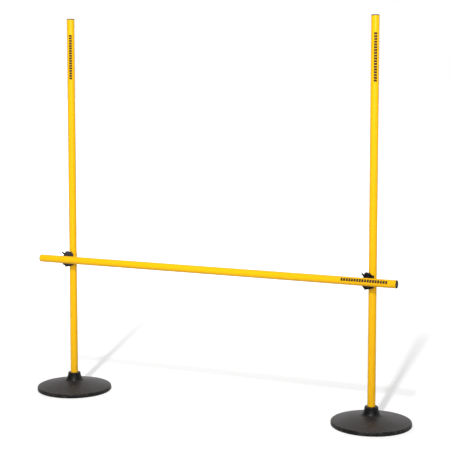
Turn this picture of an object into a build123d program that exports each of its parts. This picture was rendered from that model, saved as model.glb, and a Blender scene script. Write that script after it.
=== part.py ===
"""Height-adjustable training hurdle: two rubber bases, two upright poles and a clipped crossbar.

Frame: the origin is on the floor, midway between the uprights. +X runs along the crossbar,
-Y is the side that the crossbar hangs on, and +Z is up. All sizes are in millimetres.
"""

from math import cos, radians, sin
import os

from build123d import *

# Poles: both uprights and the crossbar are the same tube with a plug in each end.
POLE_LENGTH = 1600.0
POLE_R = 16.0
POLE_WALL = 2.0

# Plugs: a flange that closes the pole's end and a ribbed hollow stem that grips its bore.
PLUG_FLANGE = 3.5
PLUG_EDGE = 2.8
PLUG_STEM = 22.0
PLUG_STEM_WALL = 2.0
PLUG_FIT = 0.05
PLUG_RIB = 0.8
PLUG_RIB_PITCH = 5.0

# Places of the three poles.
UPRIGHT_SPACING = 1350.0
BAR_HEIGHT = 575.0
BAR_OFFSET = 36.3
BAR_LEFT_END = -815.0

# Rubber bases: a low dome with a rounded rim, a flared collar that holds the upright, a hollow foot.
BASE_R = 160.0
RIM_HEIGHT = 16.0
NECK_R = 36.0
NECK_HEIGHT = 41.0
DOME_CROWN = 1.5
WAIST_R = 27.5
WAIST_HEIGHT = 65.0
COLLAR_R = 27.0
COLLAR_TOP = 76.0
LIP_FILLET = 4.0
WAIST_FILLET = 20.0
NECK_FILLET = 19.0
RIM_FILLET = 5.0
FOOT_FILLET = 3.0
SOCKET_FIT = 0.05
SOCKET_FLOOR = 8.0
RECESS_DEPTH = 3.0
RECESS_R = 142.0
HUB_PAD_R = 34.0

# Clips: a ring that snaps round the upright, a back plate, and a cradle for the crossbar.
# Heights are above the crossbar's axis.
CLIP_WALL = 3.5
GRIP_FIT = 0.05
GRIP_HEIGHT = 50.0
GRIP_MOUTH_HALF_ANGLE = 62.0
PLATE_LEFT = -28.5
PLATE_RIGHT = 10.0
PLATE_TOP = 33.0
PLATE_CUT = {"left": 7.0, "right": 16.0}
PLATE_BOTTOM_LEFT = -35.0
PLATE_BOTTOM_RIGHT = -26.5
PLATE_FRONT = 19.7
PLATE_BACK = 16.4
PLATE_CORNER = 3.0
FLANGE_DEPTH = 12.0
FLANGE_RIGHT = -18.0
CRADLE_FIT = 0.3
CRADLE_RIGHT = 14.0
CRADLE_TILT = 15.0
RIB_THICKNESS = 3.0
RIB_INSET = 4.0
HORN_SPLAY = 18.0
HORN_RUN = 21.0
HORN_ROOT_HEIGHT = 19.0
HORN_TIP_HEIGHT = 32.5
HORN_THICKNESS = 4.8
HORN_TIP_FILLET = 1.5
CLIP_EDGE = 0.8
OVERLAP = 1.0

# Worked-out sizes and places.
BORE_R = POLE_R - POLE_WALL
TUBE_LENGTH = POLE_LENGTH - 2 * PLUG_FLANGE
TUBE_BOTTOM = SOCKET_FLOOR + PLUG_FLANGE
TUBE_TOP = TUBE_BOTTOM + TUBE_LENGTH
BAR_START = BAR_LEFT_END + PLUG_FLANGE
BAR_Y = -BAR_OFFSET
SIDES = {"left": -UPRIGHT_SPACING / 2, "right": UPRIGHT_SPACING / 2}


def save(piece, label):
    """Label a finished piece and write its STEP file."""
    piece.label = label
    export_step(piece, f"parts/{label}.step")


def make_base(label, x):
    """Moulded rubber base with a blind socket in its collar and a ring-shaped foot."""
    upright = Plane(origin=(x, 0, 0), x_dir=(1, 0, 0), z_dir=(0, -1, 0))
    lip = (COLLAR_R, COLLAR_TOP)
    waist = (WAIST_R, WAIST_HEIGHT)
    neck = (NECK_R, NECK_HEIGHT)
    rim = (BASE_R, RIM_HEIGHT)
    foot = (BASE_R, 0)
    crown = ((neck[0] + rim[0]) / 2, (neck[1] + rim[1]) / 2 + DOME_CROWN)
    roundings = {
        lip: LIP_FILLET,
        waist: WAIST_FILLET,
        neck: NECK_FILLET,
        rim: RIM_FILLET,
        foot: FOOT_FILLET,
    }
    with BuildPart() as base:
        with BuildSketch(upright) as outline:
            with BuildLine():
                Polyline((0, 0), (0, COLLAR_TOP), lip, waist, neck)
                ThreePointArc(neck, crown, rim)
                Polyline(rim, foot, (0, 0))
            make_face()
            for corner, radius in roundings.items():
                fillet(outline.vertices().sort_by_distance(corner)[0], radius)
        revolve(axis=Axis((x, 0, 0), (0, 0, 1)))
        with BuildSketch(Plane((x, 0, SOCKET_FLOOR))):
            Circle(POLE_R + SOCKET_FIT)
        extrude(amount=COLLAR_TOP, mode=Mode.SUBTRACT)
        with BuildSketch(Plane((x, 0, 0))):
            Circle(RECESS_R)
            Circle(HUB_PAD_R, mode=Mode.SUBTRACT)
        extrude(amount=RECESS_DEPTH, mode=Mode.SUBTRACT)
    save(base.part, label)


def make_pole(label, start):
    """Plain tube; start is the plane of its first end, and the tube runs along the plane's normal."""
    with BuildPart() as pole:
        with BuildSketch(start):
            Circle(POLE_R)
            Circle(BORE_R, mode=Mode.SUBTRACT)
        extrude(amount=TUBE_LENGTH)
    save(pole.part, label)


def make_plug(label, seat):
    """Push-in end plug; seat is the plane of the tube's end, with its normal pointing outwards."""
    rib_r = BORE_R - PLUG_FIT
    stem_r = rib_r - PLUG_RIB
    with BuildPart() as plug:
        with BuildSketch(seat):
            Circle(POLE_R)
        extrude(amount=PLUG_FLANGE)
        fillet(plug.edges().group_by(Axis(seat.origin, seat.z_dir))[-1], PLUG_EDGE)
        with BuildSketch(seat):
            Circle(stem_r)
            Circle(stem_r - PLUG_STEM_WALL, mode=Mode.SUBTRACT)
        extrude(amount=-PLUG_STEM)
        for rib in range(1, int(PLUG_STEM / PLUG_RIB_PITCH) + 1):
            with BuildSketch(seat.offset(-rib * PLUG_RIB_PITCH)):
                Circle(rib_r)
                Circle(stem_r - PLUG_STEM_WALL / 2, mode=Mode.SUBTRACT)
            extrude(amount=PLUG_RIB)
    save(plug.part, label)


def plate_edges(x, cut):
    """Heights of the clip plate's bottom and top edges at x, measured from the upright's axis."""
    share = (x - PLATE_LEFT) / (PLATE_RIGHT - PLATE_LEFT)
    bottom = PLATE_BOTTOM_LEFT + share * (PLATE_BOTTOM_RIGHT - PLATE_BOTTOM_LEFT)
    top = PLATE_TOP - max(0, x - PLATE_RIGHT + cut)
    return bottom, top


def make_clip(label, x, cut):
    """One-piece clip: snap ring on the upright, back plate, crossbar cradle, ribs and finger horn.

    The back plate's upper right corner is cut off at 45 degrees; cut is the size of that corner.
    """
    ring_r = POLE_R + GRIP_FIT
    ring_mid = ring_r + CLIP_WALL / 2
    cradle_r = POLE_R + CRADLE_FIT
    cradle_mid = cradle_r + CLIP_WALL / 2
    reach = 2 * (cradle_r + CLIP_WALL)
    cradle_width = CRADLE_RIGHT - PLATE_LEFT
    front = Plane(origin=(x, -PLATE_BACK, BAR_HEIGHT), x_dir=(1, 0, 0), z_dir=(0, -1, 0))
    ring_foot = Plane((x, 0, BAR_HEIGHT - GRIP_HEIGHT / 2))
    side = Plane(origin=(x + PLATE_LEFT, BAR_Y, BAR_HEIGHT), x_dir=(0, 1, 0), z_dir=(1, 0, 0))
    splay = radians(HORN_SPLAY)
    horn = Plane(
        origin=(x + PLATE_LEFT + RIB_THICKNESS, -PLATE_FRONT + OVERLAP, BAR_HEIGHT),
        x_dir=(-sin(splay), -cos(splay), 0),
        z_dir=(-cos(splay), sin(splay), 0),
    )
    mouth = radians(GRIP_MOUTH_HALF_ANGLE)
    mouth_x = reach * cos(mouth)
    mouth_y = reach * sin(mouth)
    tilt = radians(CRADLE_TILT)
    out = (-cos(tilt), sin(tilt))
    up = (sin(tilt), cos(tilt))
    arm_y = up[0] * cradle_mid
    arm_z = up[1] * cradle_mid
    plate_y = BAR_OFFSET - PLATE_FRONT + OVERLAP
    with BuildPart() as clip:
        # Snap ring round the upright, open towards +X, with rounded lips.
        with BuildSketch(ring_foot):
            Circle(ring_r + CLIP_WALL)
            Circle(ring_r, mode=Mode.SUBTRACT)
            with BuildLine():
                Polyline((0, 0), (mouth_x, mouth_y), (reach, 0), (mouth_x, -mouth_y), close=True)
            make_face(mode=Mode.SUBTRACT)
            with Locations(*[(ring_mid * cos(turn), ring_mid * sin(turn)) for turn in (mouth, -mouth)]):
                Circle(CLIP_WALL / 2)
        extrude(amount=GRIP_HEIGHT)
        fillet(clip.faces().filter_by(Axis.Z).edges(), CLIP_EDGE)
        # Back plate between the upright and the crossbar.
        with BuildSketch(front) as plate:
            with BuildLine():
                FilletPolyline(
                    (PLATE_LEFT, PLATE_BOTTOM_LEFT),
                    (PLATE_RIGHT, PLATE_BOTTOM_RIGHT),
                    (PLATE_RIGHT, PLATE_TOP - cut),
                    (PLATE_RIGHT - cut, PLATE_TOP),
                    (PLATE_LEFT, PLATE_TOP),
                    radius=PLATE_CORNER,
                    close=True,
                )
            make_face()
        extrude(amount=PLATE_FRONT - PLATE_BACK)
        fillet(clip.faces().sort_by(Axis.Y)[0].edges(), CLIP_EDGE)
        # Flange that turns back round the plate's left end.
        with BuildSketch(front):
            add(plate.sketch_local)
            offset(amount=-RIB_THICKNESS, mode=Mode.SUBTRACT)
            with Locations((FLANGE_RIGHT, 0)):
                Rectangle(reach, 2 * reach, align=(Align.MAX, Align.CENTER), mode=Mode.INTERSECT)
        extrude(amount=-FLANGE_DEPTH)
        # Cradle: half a ring round the crossbar, open forwards and a little upwards.
        with BuildSketch(side):
            Circle(cradle_r + CLIP_WALL)
            Circle(cradle_r, mode=Mode.SUBTRACT)
            with Locations(Location((out[0] * reach / 2, out[1] * reach / 2), -CRADLE_TILT)):
                Rectangle(reach, 2 * reach, mode=Mode.SUBTRACT)
            with Locations((arm_y, arm_z), (-arm_y, -arm_z)):
                Circle(CLIP_WALL / 2)
        extrude(amount=cradle_width)
        fillet(clip.faces().sort_by(Axis.X)[-1].edges(), CLIP_EDGE)
        # Ribs that brace the cradle's two arms against the plate.
        last_place = PLATE_RIGHT - PLATE_LEFT - RIB_THICKNESS
        for place in (0, last_place / 2, last_place):
            bottom, top = plate_edges(PLATE_LEFT + place, cut)
            for end, root in ((1, top - RIB_INSET), (-1, bottom + RIB_INSET)):
                with BuildSketch(side.offset(place)):
                    with BuildLine():
                        Polyline(
                            (plate_y, root),
                            (end * arm_y, end * (arm_z + CLIP_WALL / 2)),
                            (plate_y, end * cradle_r / 2),
                            close=True,
                        )
                    make_face()
                extrude(amount=RIB_THICKNESS)
        # Finger horn that leans forwards and up from the plate's left edge.
        with BuildSketch(horn) as tongue:
            with BuildLine():
                Polyline(
                    (0, HORN_ROOT_HEIGHT - HORN_THICKNESS),
                    (HORN_RUN, HORN_TIP_HEIGHT - HORN_THICKNESS / 2),
                    (HORN_RUN - HORN_THICKNESS / 2, HORN_TIP_HEIGHT + HORN_THICKNESS / 2),
                    (0, HORN_ROOT_HEIGHT + HORN_THICKNESS),
                    close=True,
                )
            make_face()
            fillet(tongue.vertices().sort_by(Axis.Y)[-2:], HORN_TIP_FILLET)
        extrude(amount=RIB_THICKNESS)
        # Room for the crossbar, clear of every rib.
        with BuildSketch(side.offset(-reach)):
            Circle(cradle_r)
        extrude(amount=cradle_width + 2 * reach, mode=Mode.SUBTRACT)
    save(clip.part, label)


os.makedirs("parts", exist_ok=True)
for name, post_x in SIDES.items():
    make_base(f"{name}_base", post_x)
    make_pole(f"{name}_upright", Plane((post_x, 0, TUBE_BOTTOM)))
    make_plug(f"{name}_upright_top_plug", Plane((post_x, 0, TUBE_TOP)))
    make_plug(f"{name}_upright_foot_plug", Plane((post_x, 0, TUBE_BOTTOM), z_dir=(0, 0, -1)))
    make_clip(f"{name}_clip", post_x, PLATE_CUT[name])

bar_left = Plane((BAR_START, BAR_Y, BAR_HEIGHT), z_dir=(-1, 0, 0))
bar_right = Plane((BAR_START + TUBE_LENGTH, BAR_Y, BAR_HEIGHT), z_dir=(1, 0, 0))
make_pole("crossbar", Plane(bar_left.origin, z_dir=(1, 0, 0)))
make_plug("crossbar_left_plug", bar_left)
make_plug("crossbar_right_plug", bar_right)
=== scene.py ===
from math import cos, pi, radians, sin

import bmesh
import bpy
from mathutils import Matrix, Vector


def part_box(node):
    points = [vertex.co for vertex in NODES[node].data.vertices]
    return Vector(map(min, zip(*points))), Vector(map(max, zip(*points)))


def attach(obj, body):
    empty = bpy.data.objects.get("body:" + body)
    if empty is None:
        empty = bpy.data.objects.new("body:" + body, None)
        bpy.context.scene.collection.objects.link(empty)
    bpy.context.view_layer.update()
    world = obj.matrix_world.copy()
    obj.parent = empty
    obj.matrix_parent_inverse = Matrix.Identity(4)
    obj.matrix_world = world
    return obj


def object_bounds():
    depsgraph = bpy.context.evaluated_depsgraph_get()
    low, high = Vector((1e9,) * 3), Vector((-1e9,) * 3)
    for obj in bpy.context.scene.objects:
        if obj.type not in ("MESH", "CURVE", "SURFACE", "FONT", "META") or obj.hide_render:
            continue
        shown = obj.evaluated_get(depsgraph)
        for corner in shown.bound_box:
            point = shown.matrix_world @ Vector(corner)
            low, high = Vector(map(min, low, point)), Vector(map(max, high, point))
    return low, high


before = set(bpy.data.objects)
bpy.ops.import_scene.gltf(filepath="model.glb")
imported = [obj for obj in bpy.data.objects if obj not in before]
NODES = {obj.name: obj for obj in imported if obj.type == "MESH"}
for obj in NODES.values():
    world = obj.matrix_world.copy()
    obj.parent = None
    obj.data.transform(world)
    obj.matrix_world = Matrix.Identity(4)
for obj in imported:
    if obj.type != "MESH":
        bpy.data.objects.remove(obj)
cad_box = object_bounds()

# All sizes are in metres, in the part's own frame: +X along the crossbar, -Y the crossbar's side.
SIDES = ("left", "right")

# ---------------------------------------------------------------- small helpers


def middle(node):
    """Centre of a CAD node's box."""
    low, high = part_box(node)
    return (low + high) / 2


def dress(material, *names):
    """Give CAD nodes one material."""
    for name in names:
        NODES[name].data.materials.clear()
        NODES[name].data.materials.append(material)


class Nodes:
    """A node tree with short calls for the nodes that the finishes and the studio share."""

    def __init__(self, tree):
        self.tree = tree

    def add(self, kind, **settings):
        node = self.tree.nodes.new("ShaderNode" + kind)
        for key, value in settings.items():
            setattr(node, key, value)
        return node

    def link(self, source, target):
        self.tree.links.new(source, target)

    def ramp(self, value, low, high, to_low=0.0, to_high=1.0):
        """Value mapped from low..high to to_low..to_high, held at its ends."""
        node = self.add("MapRange")
        for key, number in zip(("From Min", "From Max", "To Min", "To Max"), (low, high, to_low, to_high)):
            node.inputs[key].default_value = number
        self.link(value, node.inputs["Value"])
        return node.outputs["Result"]

    def math(self, operation, first, second):
        node = self.add("Math", operation=operation)
        for socket, value in zip(node.inputs, (first, second)):
            if isinstance(value, (int, float)):
                socket.default_value = value
            else:
                self.link(value, socket)
        return node.outputs["Value"]

    def axes(self, vector):
        """The X, Y and Z outputs of a vector."""
        node = self.add("SeparateXYZ")
        self.link(vector, node.inputs["Vector"])
        return node.outputs


class Shader(Nodes):
    """A material's Principled shader and its textures."""

    def __init__(self, name):
        self.material = bpy.data.materials.new(name)
        self.material.use_nodes = True
        super().__init__(self.material.node_tree)
        self.surface = self.tree.nodes["Principled BSDF"]
        self.place = self.add("TexCoord").outputs["Object"]

    def stretched(self, scale):
        """Object coordinates scaled on each axis."""
        mapping = self.add("Mapping")
        mapping.inputs["Scale"].default_value = scale
        self.link(self.place, mapping.inputs["Vector"])
        return mapping.outputs["Vector"]

    def noise(self, scale, detail=2.0, roughness=0.5, at=None):
        node = self.add("TexNoise")
        node.inputs["Scale"].default_value = scale
        node.inputs["Detail"].default_value = detail
        node.inputs["Roughness"].default_value = roughness
        self.link(at or self.place, node.inputs["Vector"])
        return node.outputs["Fac"]

    def mix(self, amount, first, second):
        """Colour between first and second; each is a colour or another node's output."""
        node = self.add("Mix", data_type="RGBA")
        self.link(amount, node.inputs["Factor"])
        for key, value in (("A", first), ("B", second)):
            socket = [s for s in node.inputs if s.name == key and s.type == "RGBA"][0]
            if isinstance(value, tuple):
                socket.default_value = (*value, 1.0)
            else:
                self.link(value, socket)
        return [s for s in node.outputs if s.type == "RGBA"][0]

    def bump(self, height, strength, distance, after=None):
        node = self.add("Bump")
        node.inputs["Strength"].default_value = strength
        node.inputs["Distance"].default_value = distance
        self.link(height, node.inputs["Height"])
        if after:
            self.link(after, node.inputs["Normal"])
        return node.outputs["Normal"]

    def finish(self, colour, roughness, normal, **constants):
        self.link(colour, self.surface.inputs["Base Color"])
        self.link(roughness, self.surface.inputs["Roughness"])
        self.link(normal, self.surface.inputs["Normal"])
        for key, value in constants.items():
            self.surface.inputs[key.replace("_", " ")].default_value = value
        return self.material


# ---------------------------------------------------------------- finishes
# Colours are linear. Texture scales are repeats per metre.

LEMON = (0.84, 0.468, 0.002)
GOLDEN = (0.83, 0.428, 0.001)
PALE_SCUFF = (0.95, 0.62, 0.06)
DARK_SCUFF = (0.55, 0.29, 0.01)
STREAK_ALONG, STREAK_ACROSS = 0.8, 90.0
SCRATCH_ALONG, SCRATCH_ACROSS = 14.0, 900.0


def pole_plastic(name, along):
    """Extruded yellow plastic: long drawn streaks, fine scratches along the pole's axis, a few scuffs."""
    s = Shader(name)
    streak_scale = tuple(STREAK_ALONG if axis == along else STREAK_ACROSS for axis in range(3))
    scratch_scale = tuple(SCRATCH_ALONG if axis == along else SCRATCH_ACROSS for axis in range(3))
    streaks = s.noise(1.0, 3.0, 0.55, s.stretched(streak_scale))
    scratches = s.noise(1.0, 4.0, 0.6, s.stretched(scratch_scale))
    clouds = s.noise(7.0, 3.0, 0.5)
    grime = s.noise(60.0, 6.0, 0.65)
    colour = s.mix(s.ramp(streaks, 0.35, 0.65), GOLDEN, LEMON)
    colour = s.mix(s.ramp(scratches, 0.66, 0.80, 0.0, 0.35), colour, PALE_SCUFF)
    scuffs = s.math("MULTIPLY", s.ramp(grime, 0.60, 0.75), s.ramp(clouds, 0.5, 0.7, 0.0, 0.25))
    colour = s.mix(scuffs, colour, DARK_SCUFF)
    roughness = s.math("ADD", s.ramp(clouds, 0.3, 0.7, 0.24, 0.34), s.ramp(scratches, 0.55, 0.8, 0.0, 0.2))
    normal = s.bump(scratches, 0.10, 0.0002)
    normal = s.bump(streaks, 0.15, 0.0006, normal)
    return s.finish(colour, roughness, normal, IOR=1.3)


RUBBER_DARK = (0.003, 0.0027, 0.0026)
RUBBER_LIGHT = (0.007, 0.0064, 0.0062)
# Painted light: faces that look up get these lighter colours, and the sides keep the darker rubber as
# painted shade.
LIT_TOP_DARK = (0.0205, 0.0168, 0.0162)
LIT_TOP_LIGHT = (0.028, 0.0236, 0.0228)
DUST_SPECK = (0.10, 0.095, 0.09)
WORN_RUBBER = (0.075, 0.07, 0.067)
MOULD_RING_PITCH = 0.0026
WORN_FROM, WORN_TO = 0.146, 0.157      # distances from the base's axis
LIT_TOP_FROM, LIT_TOP_TO = 0.55, 0.97        # how far up a face looks, as its normal's Z


def base_rubber(name, centre):
    """Moulded black rubber: matt grain, faint mould rings, a painted lighter top for the light that falls
    on it (the darker sides are painted shade), dust specks on top and a worn edge.
    """
    s = Shader(name)
    offset = s.add("VectorMath", operation="SUBTRACT")
    offset.inputs[1].default_value = (centre.x, centre.y, 0.0)
    s.link(s.place, offset.inputs[0])
    from_centre = s.axes(offset.outputs["Vector"])
    across = s.math("POWER", from_centre["X"], 2.0)
    deep = s.math("POWER", from_centre["Y"], 2.0)
    radius = s.math("POWER", s.math("ADD", across, deep), 0.5)
    rings = s.math("SINE", s.math("MULTIPLY", radius, 2 * pi / MOULD_RING_PITCH), 0.0)
    grain = s.noise(1500.0, 3.0, 0.6)
    pores = s.add("TexVoronoi", feature="F1")
    pores.inputs["Scale"].default_value = 700.0
    s.link(s.place, pores.inputs["Vector"])
    clouds = s.noise(14.0, 4.0, 0.6)
    dust = s.noise(55.0, 5.0, 0.65)
    facing = s.axes(s.add("NewGeometry").outputs["Normal"])
    upward = s.ramp(facing["Z"], LIT_TOP_FROM, LIT_TOP_TO)
    colour = s.mix(s.ramp(clouds, 0.35, 0.7), RUBBER_DARK, RUBBER_LIGHT)
    # Painted light: the top is made lighter than the sides, as if lit from above.
    painted_lit_top = s.mix(s.ramp(clouds, 0.35, 0.7), LIT_TOP_DARK, LIT_TOP_LIGHT)
    colour = s.mix(upward, colour, painted_lit_top)
    specks = s.math("MULTIPLY", upward, s.ramp(dust, 0.58, 0.80, 0.0, 0.5))
    colour = s.mix(specks, colour, DUST_SPECK)
    worn = s.math("MULTIPLY", s.ramp(radius, WORN_FROM, WORN_TO), s.ramp(dust, 0.45, 0.65, 0.0, 0.35))
    colour = s.mix(worn, colour, WORN_RUBBER)
    roughness = s.math("ADD", s.ramp(clouds, 0.3, 0.7, 0.36, 0.46), s.ramp(grain, 0.4, 0.7, 0.0, 0.10))
    normal = s.bump(grain, 0.35, 0.0004)
    normal = s.bump(pores.outputs["Distance"], 0.20, 0.0003, normal)
    normal = s.bump(rings, 0.05, 0.0001, normal)
    return s.finish(colour, roughness, normal, IOR=1.32)


def moulded_plastic(name, dark, light, grain_scale):
    """Injection-moulded plastic: spark-eroded grain, and cloudy patches from dark to light."""
    s = Shader(name)
    grain = s.noise(grain_scale, 3.0, 0.55)
    clouds = s.noise(120.0, 4.0, 0.6)
    flow = s.noise(35.0, 2.0, 0.5)
    colour = s.mix(s.ramp(clouds, 0.4, 0.7), dark, light)
    roughness = s.math("ADD", s.ramp(flow, 0.35, 0.65, 0.32, 0.44), s.ramp(grain, 0.4, 0.7, 0.0, 0.12))
    normal = s.bump(grain, 0.25, 0.0002)
    return s.finish(colour, roughness, normal, IOR=1.32)


INK_SOLID = (0.030, 0.018, 0.003)
INK_WORN = (0.16, 0.10, 0.006)


def print_ink(name):
    """Screen-printed black ink, thin and slightly worn."""
    s = Shader(name)
    wear = s.noise(900.0, 4.0, 0.6)
    blotch = s.noise(160.0, 3.0, 0.5)
    colour = s.mix(s.ramp(wear, 0.55, 0.75, 0.0, 0.5), INK_SOLID, INK_WORN)
    roughness = s.ramp(blotch, 0.3, 0.7, 0.38, 0.55)
    return s.finish(colour, roughness, s.bump(wear, 0.2, 0.0001), IOR=1.3)


FLOOR_DARK = (0.59, 0.59, 0.59)
FLOOR_LIGHT = (0.61, 0.61, 0.61)
GLOW_NEAR, GLOW_FAR = 1.5, 6.0          # distances from the object between which the glow grows
GLOW_LEAST, GLOW_MOST = 0.43, 0.97
GLOW_ON_OBJECT = 0.10                   # share of the glow that reaches the object


def floor_paint(name):
    """White studio floor with a glow that grows far from the object and hardly lights the object."""
    s = Shader(name)
    grain = s.noise(40.0, 3.0, 0.5)
    colour = s.mix(s.ramp(grain, 0.3, 0.7), FLOOR_DARK, FLOOR_LIGHT)
    roughness = s.ramp(grain, 0.3, 0.7, 0.85, 0.95)
    distance = s.add("VectorMath", operation="LENGTH")
    s.link(s.place, distance.inputs["Vector"])
    glow = s.ramp(distance.outputs["Value"], GLOW_NEAR, GLOW_FAR, GLOW_LEAST, GLOW_MOST)
    seen = s.ramp(s.add("LightPath").outputs["Is Camera Ray"], 0.0, 1.0, GLOW_ON_OBJECT, 1.0)
    s.link(s.math("MULTIPLY", glow, seen), s.surface.inputs["Emission Strength"])
    return s.finish(colour, roughness, s.bump(grain, 0.02, 0.0005), IOR=1.0, Emission_Color=(1, 1, 1, 1))


X_AXIS, Z_AXIS = 0, 2
PLUG_GRAIN = 2200.0
CLIP_GRAIN = 1800.0

upright_finish = pole_plastic("yellow_upright_plastic", Z_AXIS)
crossbar_finish = pole_plastic("yellow_crossbar_plastic", X_AXIS)
plug_finish = moulded_plastic(
    "black_plug_plastic", (0.008, 0.008, 0.008), (0.018, 0.018, 0.018), PLUG_GRAIN)
# Both clips are one black plastic. The left one is given a lighter colour as a painted highlight.
clip_finish = {
    "left": moulded_plastic(
        "clip_plastic_painted_highlight", (0.024, 0.0215, 0.0220), (0.070, 0.062, 0.064), CLIP_GRAIN),
    "right": moulded_plastic(
        "black_clip_plastic", (0.004, 0.0030, 0.0032), (0.009, 0.0065, 0.0070), CLIP_GRAIN),
}
ink_finish = print_ink("black_print_ink")

for side in SIDES:
    dress(base_rubber(f"{side}_base_rubber", middle(f"{side}_base")), f"{side}_base")
    dress(upright_finish, f"{side}_upright")
    dress(plug_finish, f"{side}_upright_top_plug", f"{side}_upright_foot_plug")
    dress(clip_finish[side], f"{side}_clip")
dress(crossbar_finish, "crossbar")
dress(plug_finish, "crossbar_left_plug", "crossbar_right_plug")

# ---------------------------------------------------------------- printed marks
# The ink stays thinner than the clearance of the clips, which slide over it.

MARK_COUNT = 18
MARK_PITCH = 0.0106
MARK_LENGTH = 0.0084
MARK_WIDTH = 0.0125
MARK_LIFT = 0.000005
MARK_INK = 0.00002
MARK_STEPS = 16


def printed_marks(name, body, centre, along, across, outward, radius):
    """A row of plain bars of ink that wrap round a pole; along, across and outward are unit vectors."""
    ink = bmesh.new()
    half = MARK_WIDTH / 2 / radius
    for number in range(MARK_COUNT):
        start = (number - MARK_COUNT / 2) * MARK_PITCH + (MARK_PITCH - MARK_LENGTH) / 2
        rings = []
        for end in (start, start + MARK_LENGTH):
            for height in (MARK_LIFT, MARK_LIFT + MARK_INK):
                ring = []
                for step in range(MARK_STEPS + 1):
                    turn = half * (2 * step / MARK_STEPS - 1)
                    spot = outward * cos(turn) + across * sin(turn)
                    ring.append(ink.verts.new(centre + along * end + spot * (radius + height)))
                rings.append(ring)
        inner_start, outer_start, inner_end, outer_end = rings
        loops = (
            (outer_start, outer_end),
            (outer_end, inner_end),
            (inner_end, inner_start),
            (inner_start, outer_start),
        )
        for first, second in loops:
            for step in range(MARK_STEPS):
                ink.faces.new((first[step], first[step + 1], second[step + 1], second[step]))
        for step in (0, MARK_STEPS):
            ink.faces.new([ring[step] for ring in (inner_start, outer_start, outer_end, inner_end)])
    bmesh.ops.recalc_face_normals(ink, faces=ink.faces)
    mesh = bpy.data.meshes.new(name)
    ink.to_mesh(mesh)
    ink.free()
    piece = bpy.data.objects.new(name, mesh)
    bpy.context.scene.collection.objects.link(piece)
    mesh.materials.append(ink_finish)
    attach(piece, body)
    return piece


MARKS_BELOW_TOP = 0.159                 # from the upright's top to the middle of the row
MARKS_FACING = radians(24)              # turned from the crossbar's side towards the right base
BAR_MARKS_FROM_END = 0.127              # from the crossbar's right end to the middle of the row
BAR_MARKS_RISE = radians(27)            # turned up from the crossbar's front

for side in SIDES:
    low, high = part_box(f"{side}_upright")
    axis_point = Vector(((low.x + high.x) / 2, (low.y + high.y) / 2, high.z - MARKS_BELOW_TOP))
    printed_marks(
        f"{side}_upright_marks", f"{side}_post", axis_point,
        along=Vector((0, 0, 1)),
        across=Vector((cos(MARKS_FACING), sin(MARKS_FACING), 0)),
        outward=Vector((sin(MARKS_FACING), -cos(MARKS_FACING), 0)),
        radius=(high.x - low.x) / 2,
    )

low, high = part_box("crossbar")
axis_point = Vector((high.x - BAR_MARKS_FROM_END, (low.y + high.y) / 2, (low.z + high.z) / 2))
printed_marks(
    "crossbar_marks", "bar", axis_point,
    along=Vector((1, 0, 0)),
    across=Vector((0, sin(BAR_MARKS_RISE), cos(BAR_MARKS_RISE))),
    outward=Vector((0, -cos(BAR_MARKS_RISE), sin(BAR_MARKS_RISE))),
    radius=(high.z - low.z) / 2,
)

# ---------------------------------------------------------------- floor, light and camera

FLOOR_RADIUS = 40.0
FLOOR_EDGES = 96

floor_mesh = bpy.data.meshes.new("studio_floor")
disc = bmesh.new()
bmesh.ops.create_circle(disc, cap_ends=True, segments=FLOOR_EDGES, radius=FLOOR_RADIUS)
disc.to_mesh(floor_mesh)
disc.free()
floor = bpy.data.objects.new("studio_floor", floor_mesh)
bpy.context.scene.collection.objects.link(floor)
floor_mesh.materials.append(floor_paint("white_floor"))

# The backdrop is white as it is seen, and dimmer as a light. In reflections it darkens towards the
# crossbar's side, so that the black parts stay black.
AMBIENT = 0.30
BACKDROP = 1.0
DARK_SIDE = 0.10
DARKEST_AT, LIGHTEST_AT = -0.3, 0.9     # directions, as the reflected ray's Y

world = bpy.data.worlds.new("studio")
world.use_nodes = True
sky = Nodes(world.node_tree)
background = world.node_tree.nodes["Background"]
background.inputs["Color"].default_value = (1.0, 1.0, 1.0, 1.0)
direction = sky.axes(sky.add("TexCoord").outputs["Generated"])
ray = sky.add("LightPath").outputs
mirrored = sky.math("SUBTRACT", sky.ramp(direction["Y"], DARKEST_AT, LIGHTEST_AT, DARK_SIDE, BACKDROP),
                    AMBIENT)
extra = sky.math("MULTIPLY", ray["Is Glossy Ray"], mirrored)
seen = sky.math("MULTIPLY", ray["Is Camera Ray"], 1.0 - AMBIENT)
sky.link(sky.math("ADD", AMBIENT, sky.math("ADD", extra, seen)), background.inputs["Strength"])
bpy.context.scene.world = world
bpy.context.scene.view_settings.view_transform = "Standard"

heart = (cad_box[0] + cad_box[1]) / 2


def towards(azimuth, elevation):
    """Unit vector from the object in degrees; azimuth 0 is the crossbar's side, 90 the right base's."""
    a, e = radians(azimuth), radians(elevation)
    return Vector((sin(a) * cos(e), -cos(a) * cos(e), sin(e)))


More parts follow.
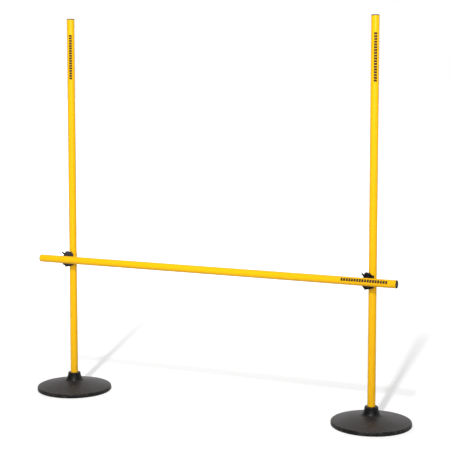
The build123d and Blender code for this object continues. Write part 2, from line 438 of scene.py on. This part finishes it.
def lamp(name, kind, target, away, distance, **settings):
    """Light that shines at a point of the object from a direction."""
    data = bpy.data.lights.new(name, kind)
    for key, value in settings.items():
        setattr(data, key, value)
    holder = bpy.data.objects.new(name, data)
    bpy.context.scene.collection.objects.link(holder)
    holder.location = target + away * distance
    holder.rotation_euler = away.to_track_quat("Z", "Y").to_euler()
    return holder


SPOT_LEFT_OF_MIDDLE = 0.05
SPOT_HEIGHT = 0.88                      # as a share of the uprights' height
upper_half = Vector((heart.x - SPOT_LEFT_OF_MIDDLE, heart.y, cad_box[1].z * SPOT_HEIGHT))

# The key casts the shadows. The spot brightens the uprights' upper halves, the front fill softens
# the front, and the back fill shows the sides that the photo's view doesn't.
lamp("key_light", "AREA", heart, towards(11.6, 44.3), 14.0,
     energy=1600.0, shape="RECTANGLE", size=0.45, size_y=1.5)
lamp("upper_spot", "SPOT", upper_half, towards(28, 10), 5.0,
     energy=470.0, spot_size=radians(31), spot_blend=0.7, shadow_soft_size=0.4)
lamp("front_fill", "AREA", heart, towards(40, 14), 5.0,
     energy=22.0, shape="RECTANGLE", size=1.2, size_y=1.2)
back_fill = lamp("back_fill", "AREA", heart, towards(212, 20), 5.0,
                 energy=100.0, shape="RECTANGLE", size=2.5, size_y=2.5)
back_fill.visible_glossy = False

# The lens is given as its focal length over the width of the frame.
CAMERA_AZIMUTH, CAMERA_ELEVATION = 23.8, 5.1
CAMERA_DISTANCE = 5.12
CAMERA_LENS = 2.79
CAMERA_SHIFT = -0.12
AIM = Vector((heart.x + 0.0448, 0.0, heart.z + 0.179))

away = towards(CAMERA_AZIMUTH, CAMERA_ELEVATION)
camera_data = bpy.data.cameras.new("camera")
camera_data.lens = CAMERA_LENS * camera_data.sensor_width
camera_data.shift_y = CAMERA_SHIFT
camera = bpy.data.objects.new("camera", camera_data)
bpy.context.scene.collection.objects.link(camera)
camera.location = AIM + away * CAMERA_DISTANCE
camera.rotation_euler = away.to_track_quat("Z", "Y").to_euler()
bpy.context.scene.camera = camera
